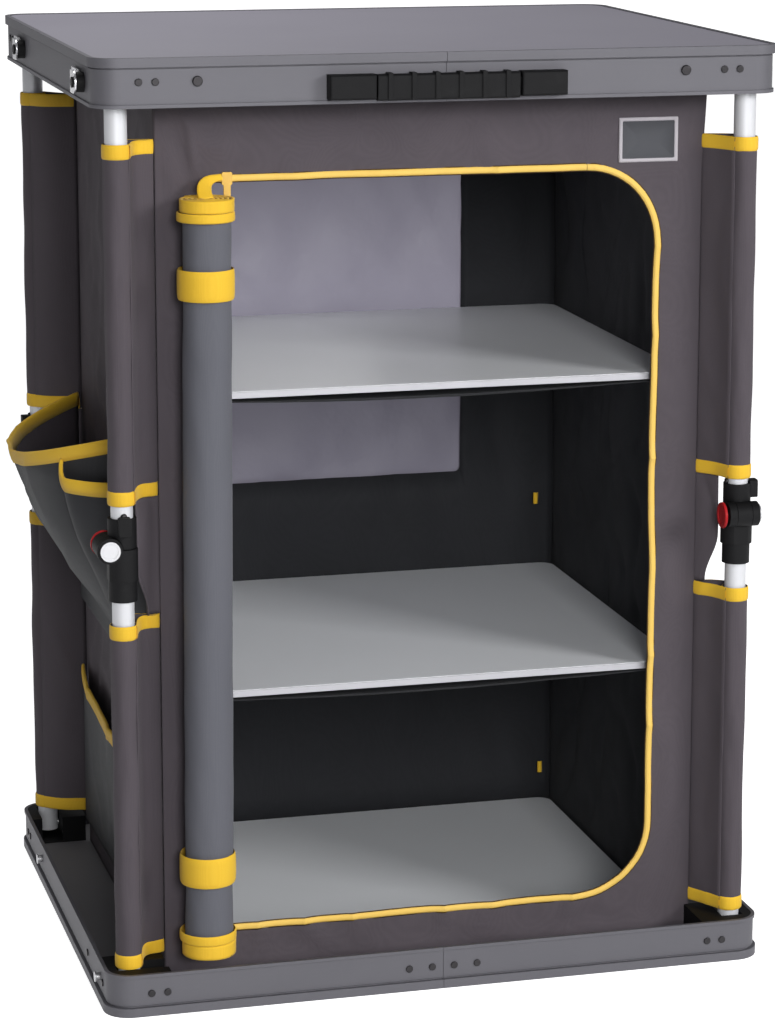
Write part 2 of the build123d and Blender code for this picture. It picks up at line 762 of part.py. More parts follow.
# Sleeves: cloth tubes round the legs, sewn to the cabinet's corners
def leg_sleeve(x, y, z0, z1):
    """One sleeve with its flange and the bindings at its two ends."""
    corner = Vector(math.copysign(cabinet_half_x + cloth_gap, x),
                    math.copysign(cabinet_half_y + cloth_gap, y), 0)
    centre = Vector(x, y, 0)
    reach = (corner - centre).length
    turn = math.degrees(math.atan2(corner.Y - y, corner.X - x))
    shape = post(sleeve_outer, 0, 0, z0, z1)
    shape += block(sleeve_inner, reach, -sleeve_flange / 2, sleeve_flange / 2, z0, z1)
    for band_z in (z0, z1 - sleeve_band_height):
        half = sleeve_flange / 2 + sleeve_band
        shape += post(sleeve_outer + sleeve_band, 0, 0, band_z, band_z + sleeve_band_height)
        shape += block(sleeve_inner, reach - sleeve_band, -half, half, band_z, band_z + sleeve_band_height)
    shape -= post(sleeve_inner, 0, 0, z0 - 1, z1 + 1)
    return Pos(x, y, 0) * Rot(0, 0, turn) * shape


save("leg_sleeves", *[leg_sleeve(x, y, z0, z1) for name, x, y, turn in legs
                      for z0, z1 in (lower_sleeve, upper_sleeve)])

# Shelves: two that hang in the cabinet, and one on its floor
shelf_half_x = cabinet_half_x - cloth - fold_depth - cloth_gap
shelf_front = front_cloth_y + cloth + shelf_front_gap
shelf_back = cabinet_half_y - cloth - back_fold_depth - cloth_gap


def shelf_board(z0, z1, front):
    """A board with rounded rear corners."""
    board = block(-shelf_half_x, shelf_half_x, front, shelf_back, z0, z1)
    rear = board.edges().filter_by(Axis.Z).sort_by(Axis.Y)[-2:]
    return fillet(rear, shelf_corner)


def shelf_edging(top):
    """The angle that stiffens a hanging shelf's front edge, with its lip under the board."""
    under = top - shelf_thickness
    low = under - edging_wall
    lip = block(-shelf_half_x, shelf_half_x, shelf_front, shelf_front + edging_depth, low, under)
    return lip + block(-shelf_half_x, shelf_half_x, shelf_front, shelf_front + edging_wall, low, top - edging_drop)


for name, top in (("middle_shelf", middle_shelf_top), ("top_shelf", top_shelf_top)):
    save(name, shelf_board(top - shelf_thickness, top, shelf_front + edging_wall))
    save(f"{name}_edging", shelf_edging(top))
save("floor_shelf", shelf_board(floor_cloth_top, floor_shelf_top, shelf_front))


# Pockets on the cabinet's left side
def pocket_section(bulge, z, span, crest, inset):
    """A pocket's plan: straight along the cabinet, bowed outwards."""
    wall_x = -cabinet_half_x - fold_depth - cloth_gap
    a = Vector(wall_x, span[0] + inset, z)
    b = Vector(wall_x, span[1] - inset, z)
    crest_point = Vector(wall_x - bulge + inset, crest, z)
    return Face(Wire([Edge.make_three_point_arc(a, crest_point, b), Edge.make_line(b, a)]))


def pocket_core(levels, span, crest, inset):
    """The space that a pocket's cloth encloses, drawn in by inset."""
    return loft([pocket_section(bulge, z, span, crest, inset) for z, bulge in levels], ruled=True)


def below_mouth(mouth, span, crest, drop):
    """All that lies below a pocket's sagging mouth line, lowered by drop."""
    front, middle, rear = [Vector(-frame_width, y, z - drop) for y, z in zip((span[0], crest, span[1]), mouth)]
    far_front = Vector(-frame_width, -frame_width, front.Z)
    far_rear = Vector(-frame_width, frame_width, rear.Z)
    foot_front = Vector(-frame_width, -frame_width, 0)
    foot_rear = Vector(-frame_width, frame_width, 0)
    line = [
        Edge.make_line(far_front, front),
        Edge.make_three_point_arc(front, middle, rear),
        Edge.make_line(rear, far_rear),
        Edge.make_line(far_rear, foot_rear),
        Edge.make_line(foot_rear, foot_front),
        Edge.make_line(foot_front, far_front),
    ]
    return extrude(Face(Wire(line)), amount=frame_width, dir=(1, 0, 0))


def pocket(levels, span, crest, mouth):
    """A pocket open at the top, with a thicker binding round its mouth."""
    outside = pocket_core(levels, span, crest, 0)
    inside = pocket_core(levels, span, crest, pocket_cloth)
    under = below_mouth(mouth, span, crest, 0)
    band = pocket_core(levels, span, crest, -pocket_band) - below_mouth(mouth, span, crest, pocket_band_height)
    far = 2 * half_width
    wall_x = -cabinet_half_x - fold_depth - cloth_gap
    back = block(wall_x - back_trim, far, -far, far, 0, overall_height)
    floor = block(-far, far, -far, far, levels[0][0] - 1, levels[0][0] + pocket_cloth)
    return ((outside + band) & under) - back - (inside - floor)


big = pocket(big_pocket, big_span, big_crest_y, big_mouth)
small = pocket(small_pocket, small_span, small_crest_y, small_mouth)
small -= pocket_core(big_pocket, big_span, big_crest_y, 0)
low = pocket(low_pocket, low_span, low_crest_y, low_mouth)
save("side_pockets", big + small, low)

print(f"pivots at {lower_pivot_z:.2f} and {upper_pivot_z:.2f}, knee at {knee_z:.2f}")
print(f"half leg {leg_half:.2f}, tray drop {tray_drop:.2f}, latch reach {latch_reach:.2f}")
print(f"floor shelf top {floor_shelf_top:.2f}, shelf half width {shelf_half_x:.2f}")
print(f"closed height {overall_height - tray_drop:.2f}, slider x {slider_x:.2f}")
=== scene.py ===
# %% [markdown]
# # A folding camping cupboard
# The real thing is two shallow aluminium trays, four legs that fold at the knee, and a dark cloth
# cabinet that hangs between them. The metal and plastic come ready measured from the CAD model, so
# this lesson gives them their finishes, and then sews the cloth around them.

# %% Load the measured model
import bpy
import math
from mathutils import Matrix, Vector, noise


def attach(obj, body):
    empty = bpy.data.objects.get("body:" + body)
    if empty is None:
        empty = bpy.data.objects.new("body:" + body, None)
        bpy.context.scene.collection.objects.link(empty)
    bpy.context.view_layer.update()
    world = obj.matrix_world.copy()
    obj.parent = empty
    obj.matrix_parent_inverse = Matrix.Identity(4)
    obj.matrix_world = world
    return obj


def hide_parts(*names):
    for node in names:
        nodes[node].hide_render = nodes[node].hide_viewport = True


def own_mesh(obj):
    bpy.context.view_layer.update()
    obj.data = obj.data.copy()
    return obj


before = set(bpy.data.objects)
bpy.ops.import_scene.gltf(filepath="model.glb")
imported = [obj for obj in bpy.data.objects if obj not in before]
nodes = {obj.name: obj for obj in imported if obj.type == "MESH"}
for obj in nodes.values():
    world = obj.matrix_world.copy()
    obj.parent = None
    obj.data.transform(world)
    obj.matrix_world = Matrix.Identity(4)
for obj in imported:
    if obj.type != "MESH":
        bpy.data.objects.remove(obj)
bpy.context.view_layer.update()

# %% [markdown]
# ## Where the photographer stood
# The camera was found by fitting the trays' corners, the legs and the shelves to the picture. A long
# lens from three metres away keeps the uprights nearly parallel. The two small shifts only centre
# the cupboard in a tall picture.

# %% Camera
STOOD_AT = (-0.7491, -2.9384, 1.0619)
YAW, PITCH, ROLL = (math.radians(a) for a in (15.317, 11.514, 0.150))


def in_scene(name, data):
    """A new object, linked to the scene."""
    made = bpy.data.objects.new(name, data)
    bpy.context.scene.collection.objects.link(made)
    return made


camera = in_scene("camera", bpy.data.cameras.new("camera"))
camera.matrix_world = (Matrix.Translation(STOOD_AT) @ Matrix.Rotation(-YAW, 4, "Z")
                       @ Matrix.Rotation(math.pi / 2 - PITCH, 4, "X") @ Matrix.Rotation(ROLL, 4, "Z"))
camera.data.sensor_fit = "AUTO"
camera.data.sensor_width = 36.0
camera.data.lens = 117.03
camera.data.shift_x = -0.0415
camera.data.shift_y = -0.0703
bpy.context.scene.camera = camera

# %% [markdown]
# ## Studio
# The picture has a white ground and hardly any shadow, yet the left side is much darker than the
# front, and light reaches deep on to the shelves. So two lamps stand low in front, one of them well
# to the right. A small one behind brightens the table's left end, and a faint one inside the window
# lights the top shelf as daylight does. The sky's own light is dim, and a bright dome that only the
# camera sees keeps the ground white.

# %% Lights and floor
world = bpy.data.worlds.new("pale_sky")
world.use_nodes = True
sky = world.node_tree.nodes["Background"].inputs
sky["Color"].default_value = (0.98, 0.985, 1.0, 1)
sky["Strength"].default_value = 0.24
bpy.context.scene.world = world
bpy.context.scene.view_settings.view_transform = "Standard"


def lamp(name, place, aim, size, power):
    """A square soft lamp that points at aim."""
    data = bpy.data.lights.new(name, "AREA")
    data.shape = "SQUARE"
    data.size = size
    data.energy = power
    light = in_scene(name, data)
    light.location = place
    light.rotation_euler = (Vector(aim) - Vector(place)).to_track_quat("-Z", "Y").to_euler()
    return light


MIDDLE = (0.0, 0.0, 0.45)
lamp("key", (2.9, -3.2, 2.1), MIDDLE, 1.4, 100.0)
lamp("front", (-0.3, -4.3, 1.7), MIDDLE, 1.2, 98.0)
lamp("above_left", (-0.24, 0.34, 1.60), (-0.16, 0.0, 0.82), 0.4, 4.2)
window_light = lamp("through_window", (-0.03, 0.165, 0.68), (-0.03, -0.10, 0.60), 0.16, 0.075)
window_light.visible_camera = False
print("lamps:", len(bpy.data.lights))

# %% [markdown]
# ## Shader sums written as Python
# A material's mask is easier to read as `grain * 0.4 + 0.6` than as a web of wires. `Shade` wraps one
# socket and turns the operators into Math nodes. `Finish` owns a material and makes every node.


# %% A small shader language
class Shade:
    """One value or colour on its way through a material."""

    def __init__(self, finish, socket):
        self.finish = finish
        self.socket = socket

    def _sum(self, operation, first, second):
        return self.finish.node("Math", {0: first, 1: second}, operation=operation)[0]

    def __add__(self, other):
        return self._sum("ADD", self, other)

    def __sub__(self, other):
        return self._sum("SUBTRACT", self, other)

    def __mul__(self, other):
        return self._sum("MULTIPLY", self, other)


class Finish:
    """One procedural material on Blender's standard surface shader."""

    def __init__(self, name, **constants):
        self.material = bpy.data.materials.new(name)
        self.material.use_nodes = True
        self.tree = self.material.node_tree
        self.surface = self.tree.nodes["Principled BSDF"]
        for socket, value in constants.items():
            self.surface.inputs[socket.replace("_", " ")].default_value = value

    def node(self, kind, inputs=(), **settings):
        """Any node: its settings first, then the values or links of its sockets."""
        made = self.tree.nodes.new("ShaderNode" + kind)
        for key, value in settings.items():
            setattr(made, key, value)
        for key, value in dict(inputs).items():
            self.feed(made.inputs[key], value)
        return [Shade(self, output) for output in made.outputs]

    def feed(self, socket, value):
        """Links a value on its way to a socket, or sets the socket to a plain one."""
        if isinstance(value, Shade):
            self.tree.links.new(value.socket, socket)
        else:
            socket.default_value = value

    def place(self):
        """Where a point is on the piece itself, in metres."""
        return self.node("TexCoord")[3]

    def stretched(self, where, size):
        """The place, scaled along each axis to draw a pattern out."""
        return self.node("Mapping", {"Vector": where, "Scale": size})[0]

    def grain(self, where, scale, detail=3.0, roughness=0.55):
        """Cloudy noise from 0 to 1."""
        return self.node("TexNoise", {"Vector": where, "Scale": scale, "Detail": detail,
                                      "Roughness": roughness}, noise_dimensions="3D")[0]

    def ribs(self, where, scale, direction):
        """Fine parallel threads from 0 to 1."""
        return self.node("TexWave", {"Vector": where, "Scale": scale, "Distortion": 0.0},
                         bands_direction=direction)[1]

    def ramp(self, value, low, high):
        """Turns low..high into 0..1 with a smooth run between."""
        return self.node("MapRange", {"Value": value, "From Min": low, "From Max": high},
                         interpolation_type="SMOOTHSTEP")[0]

    def mix(self, mask, first, second):
        """first where the mask is 0 and second where it is 1."""
        return self.node("Mix", {0: mask, 6: first, 7: second}, data_type="RGBA")[2]

    def colour(self, value):
        self.feed(self.surface.inputs["Base Color"], value)

    def rough(self, value):
        self.feed(self.surface.inputs["Roughness"], value)

    def relief(self, height, depth, edge=0.0):
        """A bump of that depth in metres, with the piece's edges softened by edge metres."""
        sockets = {"Height": height, "Distance": depth, "Strength": 1.0}
        if edge:
            sockets["Normal"] = self.node("Bevel", {"Radius": edge}, samples=4)[0]
        self.feed(self.surface.inputs["Normal"], self.node("Bump", sockets)[0])


def tone(steps):
    """A colour's red, green and blue, in the 0 to 255 steps of a screen, as light."""
    return tuple((c / 255.0 / 12.92 if c <= 10 else ((c / 255.0 + 0.055) / 1.055) ** 2.4)
                 for c in steps) + (1.0,)


# %% [markdown]
# ## Metal
# The trays are grey anodised extrusions: half metallic, even in colour, with faint lines along the
# length where they left the die and a little wear where hands and ground touch them. The tubes are
# brighter, and the rivets are blackened steel. The lines are noise drawn out along one axis.


# %% Metal finishes
def metal(name, light, dark, metallic, rough, lines, edge=0.0006):
    """Metal with die lines, cloudy tone and softened edges."""
    finish = Finish(name, Metallic=metallic)
    where = finish.place()
    cloud = finish.grain(where, 14.0, 4.0)
    streaks = finish.grain(finish.stretched(where, lines), 1.0, 5.0, 0.7)
    finish.colour(finish.mix(cloud * 0.55 + streaks * 0.45, tone(dark), tone(light)))
    finish.rough(streaks * 0.16 + rough + cloud * 0.08)
    finish.relief(streaks, 0.00006, edge)
    return finish.material


frame_grey = metal("anodised_frame", (105, 104, 110), (89, 88, 94), 0.3, 0.46, (30, 30, 2200))
tube_metal = metal("satin_tube", (226, 227, 230), (208, 209, 214), 0.2, 0.32, (900, 900, 12))
bright_edge = metal("bright_edging", (186, 186, 190), (160, 160, 166), 0.6, 0.3, (18, 1400, 1400))
dark_rivet = metal("blackened_rivet", (66, 64, 66), (38, 37, 39), 0.8, 0.30, (500, 500, 500), 0.0003)
turned_steel = metal("turned_steel", (206, 206, 208), (170, 170, 174), 0.85, 0.28, (700, 60, 700),
                     0.0004)
zip_metal = metal("zip_metal", (214, 176, 92), (176, 138, 62), 0.6, 0.32, (400, 400, 400), 0.0003)
plated = metal("plated_latch", (222, 222, 226), (186, 186, 190), 0.9, 0.16, (80, 500, 80), 0.0004)
splice_metal = metal("plain_splice", (150, 150, 154), (128, 128, 132), 0.6, 0.42, (12, 900, 900))

# %% [markdown]
# ## Boards
# The table top is faced with a fine-grained greyish purple laminate, and the shelves with a plain
# light grey one. Both have a pebbled skin that is too fine to see as bumps from a step away, but
# that spreads the highlights.


# %% Board finishes
def laminate(name, light, dark, rough, speck):
    """A faced board: even colour, tiny specks and a pebbled skin."""
    finish = Finish(name, Specular_IOR_Level=0.42)
    where = finish.place()
    cloud = finish.grain(where, 5.0, 2.0)
    pebble = finish.grain(where, 1500.0, 2.0)
    specks = finish.ramp(finish.grain(where, 620.0, 1.0), 0.62, 0.74) * speck
    finish.colour(finish.mix(cloud * 0.5 + specks + 0.1, tone(dark), tone(light)))
    finish.rough(pebble * 0.14 + rough)
    finish.relief(pebble, 0.00005, 0.0005)
    return finish.material


table_face = laminate("table_laminate", (148, 145, 156), (134, 131, 142), 0.5, 0.5)
floor_face = laminate("floor_laminate", (122, 121, 124), (108, 107, 110), 0.5, 0.3)
shelf_face = laminate("shelf_laminate", (240, 242, 245), (228, 230, 233), 0.3, 0.25)

# %% [markdown]
# ## Moulded plastic
# Blocks, knees and handle are glass-filled nylon: almost black, with a spark-eroded texture and
# edges that have gone a little grey with rubbing. The release buttons are the same in red.


# %% Plastic finishes
def moulded(name, base, worn, rough):
    """Textured plastic whose rubbed places are paler."""
    finish = Finish(name, Specular_IOR_Level=0.18)
    where = finish.place()
    texture = finish.grain(where, 1900.0, 2.0)
    rubbed = finish.ramp(finish.grain(where, 60.0, 5.0, 0.7), 0.52, 0.78)
    finish.colour(finish.mix(rubbed * 0.5, tone(base), tone(worn)))
    finish.rough(texture * 0.18 + rough - rubbed * 0.1)
    finish.relief(texture, 0.00007, 0.0007)
    return finish.material


black_plastic = moulded("black_plastic", (13, 13, 15), (24, 24, 26), 0.55)
red_plastic = moulded("red_plastic", (178, 28, 34), (198, 60, 62), 0.34)

# %% [markdown]
# ## What each hard piece is made of
# The hard pieces keep their CAD shapes. A piece takes the finish of the last word in the table that
# its name holds, so a shelf's edging isn't taken for a shelf, and both trays share their lines.

# %% Finish the CAD pieces
finishes = {
    "frame": frame_grey, "rivets": dark_rivet, "splice": splice_metal,
    "floor_panel": floor_face, "table_board": table_face, "shelf": shelf_face,
    "edging": bright_edge, "corner_blocks": black_plastic, "pivot_pins": turned_steel,
    "tube": tube_metal, "knee": black_plastic, "axle": turned_steel,
    "release_button": red_plastic, "handle": black_plastic, "zip_slider": zip_metal,
    "latch_plate": plated, "latch_bosses": black_plastic, "latch_studs": turned_steel}
for node_name, solid in nodes.items():
    fitting = [word for word in finishes if word in node_name]
    if fitting:
        solid.data.materials.clear()
        solid.data.materials.append(finishes[fitting[-1]])
print("nodes left for the cloth:", [n for n in nodes if not any(w in n for w in finishes)])

# %% [markdown]
# ## Cloth
# The cabinet is a coated polyester. Seen close, it is a plain weave: two sets of fine threads at
# right angles. Here each set is a wave texture, and together they are both the bump and a faint
# change of tone. The doorway's lining is almost black, and the rolled door shows its paler inside.


# %% Cloth finishes
def woven(name, light, dark, rough, sheen, weave=620.0, wrinkle=0.0):
    """Plain-woven cloth: threads both ways, cloudy tone, a soft sheen and fine wrinkles."""
    finish = Finish(name, Sheen_Weight=sheen, Sheen_Roughness=0.5, Specular_IOR_Level=0.22)
    where = finish.place()
    warp = finish.ribs(where, weave, "X") + finish.ribs(where, weave, "Y")
    weft = finish.ribs(where, weave, "Z")
    threads = warp * 0.3 + weft * 0.4
    cloud = finish.grain(where, 9.0, 4.0, 0.6)
    finish.colour(finish.mix(cloud * 0.6 + threads * 0.4, tone(dark), tone(light)))
    finish.rough(cloud * 0.14 + rough)
    height = threads + finish.grain(where, 240.0, 3.0) * 0.8
    if wrinkle:
        height = height + finish.grain(where, 19.0, 3.0, 0.5) * wrinkle
    finish.relief(height, 0.00012)
    return finish.material


outer_cloth = woven("outer_cloth", (93, 86, 92), (75, 69, 75), 0.72, 0.03, wrinkle=22.0)
door_cloth = woven("door_inside", (106, 107, 115), (92, 93, 101), 0.6, 0.08)
lining = woven("black_lining", (46, 47, 51), (31, 32, 35), 0.62, 0.05)
yellow_tape = woven("yellow_tape", (252, 210, 64), (236, 182, 34), 0.6, 0.1, 420.0)
# The coil's pale yellow is a painted highlight, and the dark brown of the tape's edges is painted
# shadow.
coil_painted_highlight = woven("coil_painted_highlight", (255, 218, 118), (246, 200, 92), 0.5, 0.0, 500.0)
tape_edge_painted_shade = woven("tape_edge_painted_shade", (92, 68, 34), (64, 46, 24), 0.65, 0.0, 500.0)


def film():
    """Window film with a painted glow: it emits, brighter on its upper part and dimmer at its foot,
    in place of light shining through it.
    """
    finish = Finish("window_film", Specular_IOR_Level=0.3, Emission_Strength=0.3)
    where = finish.place()
    cloud = finish.grain(where, 9.0, 4.0)
    height = finish.node("SeparateXYZ", {0: where})[2]
    finish.colour(finish.mix(cloud, tone((126, 123, 136)), tone((146, 143, 156))))
    # Painted glow: an emission colour that rises with height, standing in for light that comes
    # through the film.
    painted_glow = finish.mix(finish.ramp(height, 0.4, 0.6), tone((78, 75, 86)), tone((160, 156, 172)))
    finish.feed(finish.surface.inputs["Emission Color"], painted_glow)
    finish.rough(cloud * 0.14 + 0.34)
    finish.relief(finish.grain(where, 26.0, 3.0), 0.002)
    return finish.material


window_film = film()
patch_border = woven("patch_border", (204, 199, 205), (184, 179, 186), 0.7, 0.0, 900.0)
patch_face = woven("patch_face", (92, 93, 98), (78, 79, 84), 0.7, 0.0, 900.0)
print("finishes:", len(bpy.data.materials))

# %% [markdown]
# ## Making cloth in code
# Every cloth piece is a grid of points with a little thickness added by Blender's Solidify. Long
# folds, slanting creases and fine puckers are layers of smooth noise, the same each run. A piece is
# hung on the body that carries it.

# %% Cloth helpers
FLOOR_LINE = 0.0121


def cloud(a, b, c):
    """Smooth noise from about -1 to 1."""
    return noise.noise(Vector((a, b, c)))


def crumple(across, up, seed):
    """How far hanging cloth stands off its plane, from about -1 to 1."""
    folds = cloud(across * 9.0, up * 1.6, seed)
    slants = cloud(across * 13.0 + up * 9.0, up * 8.0 - across * 5.0, seed + 5.0)
    ridge = (1.0 - abs(cloud(across * 17.0, up * 12.0 + across * 6.0, seed + 9.0))) ** 5
    fine = cloud(across * 55.0, up * 48.0, seed + 13.0)
    return 0.8 * folds + 0.5 * slants + 0.6 * (ridge - 0.35) + 0.12 * fine


def crease(x, z, start, end, width, depth):
    """A straight pulled crease between two places, deepest in its middle."""
    run = Vector(end) - Vector(start)
    off = Vector((x, z)) - Vector(start)
    along = off.dot(run) / run.length_squared
    if not -0.3 < along < 1.3:
        return 0.0
    aside = abs(off.x * run.y - off.y * run.x) / run.length
    return depth * math.exp(-(aside / width) ** 2) * math.exp(-((along - 0.5) / 0.5) ** 2)


def grid_faces(rows, columns, around=False):
    """Quads over rows by columns of points. around joins the last column to the first."""
    faces = []
    for r in range(rows - 1):
        row, above = r * columns, (r + 1) * columns
        for c in range(columns if around else columns - 1):
            beside = (c + 1) % columns
            faces.append((row + c, row + beside, above + beside, above + c))
    return faces


def piece(name, points, faces, finish, body, turn=False):
    """A mesh object with its finish and that finish's slot, on a body. turn flips its faces."""
    if turn:
        faces = [tuple(reversed(face)) for face in faces]
    mesh = bpy.data.meshes.new(name)
    mesh.from_pydata([tuple(p) for p in points], [], faces)
    mesh.materials.append(finish)
    mesh.shade_smooth()
    mesh.validate()
    made = in_scene(name, mesh)
    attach(made, body)
    return made


def sheet_piece(name, point, rows, columns, finish, body, turn=False):
    """A sheet of point(s, t): s goes from 0 to 1 along a row, and t from row to row."""
    points = [point(c / (columns - 1), r / (rows - 1)) for r in range(rows) for c in range(columns)]
    return piece(name, points, grid_faces(rows, columns), finish, body, turn)


def through(rows, around=False):
    """Points and faces of a surface through rows of points."""
    return [p for row in rows for p in row], grid_faces(len(rows), len(rows[0]), around)


def thicken(made, thickness, inside=None, offset=-1.0):
    """Gives a sheet its thickness, and another finish on its inner face if there is one."""
    solid = made.modifiers.new("thickness", "SOLIDIFY")
    solid.thickness = thickness
    solid.offset = offset
    if inside:
        made.data.materials.append(inside)
        solid.material_offset = 1


def second_finish(made, finish, chosen):
    """Gives a piece's faces another finish where chosen says so of their number."""
    made.data.materials.append(finish)
    for face in made.data.polygons:
        face.material_index = int(chosen(face.index))


def collapses(made):
    """Gives the piece a mesh of its own."""
    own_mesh(made)


def rounded(left, right, low, high, radii, per_side, per_corner):
    """A rounded rectangle's points and outward directions. Radii go from top left round clockwise."""
    corners = ((left, high, 180, (1, -1)), (right, high, 90, (-1, -1)),
               (right, low, 0, (-1, 1)), (left, low, -90, (1, 1)))
    arcs = []
    for (x, z, start, inward), radius in zip(corners, radii):
        cx, cz = x + inward[0] * radius, z + inward[1] * radius
        arc = []
        for step in range(per_corner + 1):
            turn = math.radians(start - 90.0 * step / per_corner)
            out = (math.cos(turn), math.sin(turn))
            arc.append(((cx + radius * out[0], cz + radius * out[1]), out))
        arcs.append(arc)
    points = []
    for index, arc in enumerate(arcs):
        points += arc
        (end, out), (begin, _) = arc[-1], arcs[(index + 1) % 4][0]
        for step in range(1, per_side):
            t = step / per_side
            points.append(((end[0] + (begin[0] - end[0]) * t, end[1] + (begin[1] - end[1]) * t), out))
    return points


def blend_in(distance, reach):
    """0 at an edge and 1 from reach inwards, smoothly."""
    t = max(0.0, min(1.0, distance / reach))
    return t * t * (3.0 - 2.0 * t)


# %% [markdown]
# ## The cabinet's walls
# Each wall is one panel. The front and back ones have an opening, so their grids run round it in
# rings, which keeps every edge of the opening a clean row of points for the zip or the window to
# follow. Near a seam the folds die out, because the seam holds the cloth flat.

# %% Front panel with the doorway
HALF_X, HALF_Y = 0.239, 0.198
CLOTH_TOP = 0.8186
CLOTH = 0.0011
DOOR = (-0.199, 0.207, 0.054, 0.718)
DOOR_RADII = (0.012, 0.066, 0.066, 0.012)
SIDE_STEPS, CORNER_STEPS = 44, 14
PATCH = (0.170, 0.224, 0.721, 0.760)
CREASES = (  # start, end, width, depth
    ((-0.236, 0.772), (-0.207, 0.714), 0.006, -0.0035),
    ((-0.211, 0.775), (-0.206, 0.728), 0.004, 0.0022),
    ((0.247, 0.786), (0.226, 0.733), 0.007, -0.0045),
    ((0.172, 0.760), (0.148, 0.716), 0.006, -0.0025),
    ((0.236, 0.330), (0.216, 0.250), 0.007, -0.003),
    ((0.240, 0.200), (0.215, 0.110), 0.008, 0.003),
    ((0.233, 0.120), (0.205, 0.032), 0.008, -0.003),
    ((-0.10, 0.790), (-0.04, 0.740), 0.012, -0.002),
    ((0.06, 0.800), (0.02, 0.735), 0.010, -0.002))
BOW = 0.008


def front_offset(x, z):
    """How far the front panel stands out from its plane at one point."""
    edge = min(HALF_X - abs(x), CLOTH_TOP - z, z - FLOOR_LINE)
    pulled = sum(crease(x, z, *mark) for mark in CREASES)
    aside = max(PATCH[0] - x, x - PATCH[1], PATCH[2] - z, z - PATCH[3])
    free = blend_in(edge, 0.025) * blend_in(aside, 0.014)
    return (0.005 * crumple(x, z, 3.0) + pulled) * free + 0.0012


def bowed(x, y, z):
    """The front right corner stands a little further out than the others, most at its head."""
    share = blend_in(x - 0.207, 0.032) * blend_in(-0.02 - y, 0.16)
    return x + (BOW + 0.004 * blend_in(z - 0.70, 0.1)) * share, y, z


def holed_panel(name, hole, hole_radii, rings, place, turn=False):
    """A wall with an opening: rings of points from the opening's edge to the wall's edge."""
    inner = rounded(*hole, hole_radii, SIDE_STEPS, CORNER_STEPS)
    outer = rounded(-HALF_X, HALF_X, FLOOR_LINE, CLOTH_TOP, (0.004,) * 4, SIDE_STEPS, CORNER_STEPS)
    rows = []
    for ring in range(rings + 1):
        t = ring / rings
        rows.append([place(ax + (bx - ax) * t, az + (bz - az) * t)
                     for ((ax, az), _), ((bx, bz), _) in zip(inner, outer)])
    return piece(name, *through(rows, around=True), outer_cloth, "base", turn)


front_panel = holed_panel("front_panel", DOOR, DOOR_RADII, 26,
                          lambda x, z: bowed(x, -HALF_Y - front_offset(x, z), z))
thicken(front_panel, CLOTH, lining, 1.0)
collapses(front_panel)

# %% [markdown]
# ## The back and its window
# The back panel is cut like the front one, and soft clear film is sewn over its opening from behind.
# The film is a plain grid, a little larger than the opening, with shallow dents where it hangs slack.

# %% Back panel and window
WINDOW = (-0.141, 0.141, 0.366, 0.735)
FILM = (-0.148, 0.148, 0.359, 0.742)
SEAM = 0.001


def back_offset(x, z):
    """How far the back panel stands out from its plane at one point."""
    edge = min(HALF_X - abs(x), CLOTH_TOP - z, z - FLOOR_LINE)
    return 0.005 * crumple(x, z, 23.0) * blend_in(edge, 0.03)


back_panel = holed_panel("back_panel", WINDOW, (0.006,) * 4, 12,
                         lambda x, z: (x, HALF_Y + back_offset(x, z), z), turn=True)
thicken(back_panel, CLOTH, lining)
collapses(back_panel)


def panel(name, area, columns, rows, place, finish, turn=False):
    """A plain rectangular sheet over area (left, right, low, high), row by row from the bottom."""
    left, right, low, high = area
    return sheet_piece(name, lambda s, t: place(left + (right - left) * s, low + (high - low) * t),
                       rows, columns, finish, "base", turn)


def window_point(x, z):
    """Soft film: it puckers along its seams and has slack, shallow dents in the middle."""
    dents = cloud(x * 16.0, z * 10.0, 41.0) + 0.5 * cloud(x * 30.0 + z * 12.0, z * 22.0, 47.0)
    edge = min(FILM[1] - abs(x), FILM[3] - z, z - FILM[2]) - SEAM
    return (x, HALF_Y + 0.005 + 0.0045 * dents * blend_in(edge, 0.02), z)


back_window = panel("window_sheet", FILM, 60, 76, window_point, window_film)
thicken(back_window, 0.0005)
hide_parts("back_window")
collapses(back_window)

# %% [markdown]
# ## Side walls and floor
# Two plain rectangles close the sides, and a third lies on the bottom tray. The walls stand a little
# outside their planes, so their folds stay clear of the shelves.


# %% Side walls and floor cloth
def side_offset(y, z, seed):
    """How far a side wall stands out from its plane at one point."""
    edge = min(HALF_Y - abs(y), CLOTH_TOP - z, z - FLOOR_LINE)
    return 0.0065 * crumple(y, z, seed) * blend_in(edge, 0.04) + 0.0015 * blend_in(edge, 0.05)


SIDE = (-HALF_Y, HALF_Y, FLOOR_LINE, CLOTH_TOP)
left_wall = panel("left_wall", SIDE, 70, 120,
                  lambda y, z: (-HALF_X - side_offset(y, z, 61.0), y, z), outer_cloth, turn=True)
right_wall = panel("right_wall", SIDE, 70, 120,
                   lambda y, z: bowed(HALF_X + side_offset(y, z, 83.0), y, z), outer_cloth)
for wall in (left_wall, right_wall):
    thicken(wall, CLOTH, lining)
    collapses(wall)

floor_cloth = panel("floor_cloth", (-HALF_X, HALF_X, -HALF_Y, HALF_Y), 30, 26,
                    lambda x, y: (x, y, FLOOR_LINE + 0.0011), lining)
thicken(floor_cloth, 0.001)
for wall in (front_panel, back_panel, left_wall, right_wall, floor_cloth):
    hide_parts("cabinet_cloth")
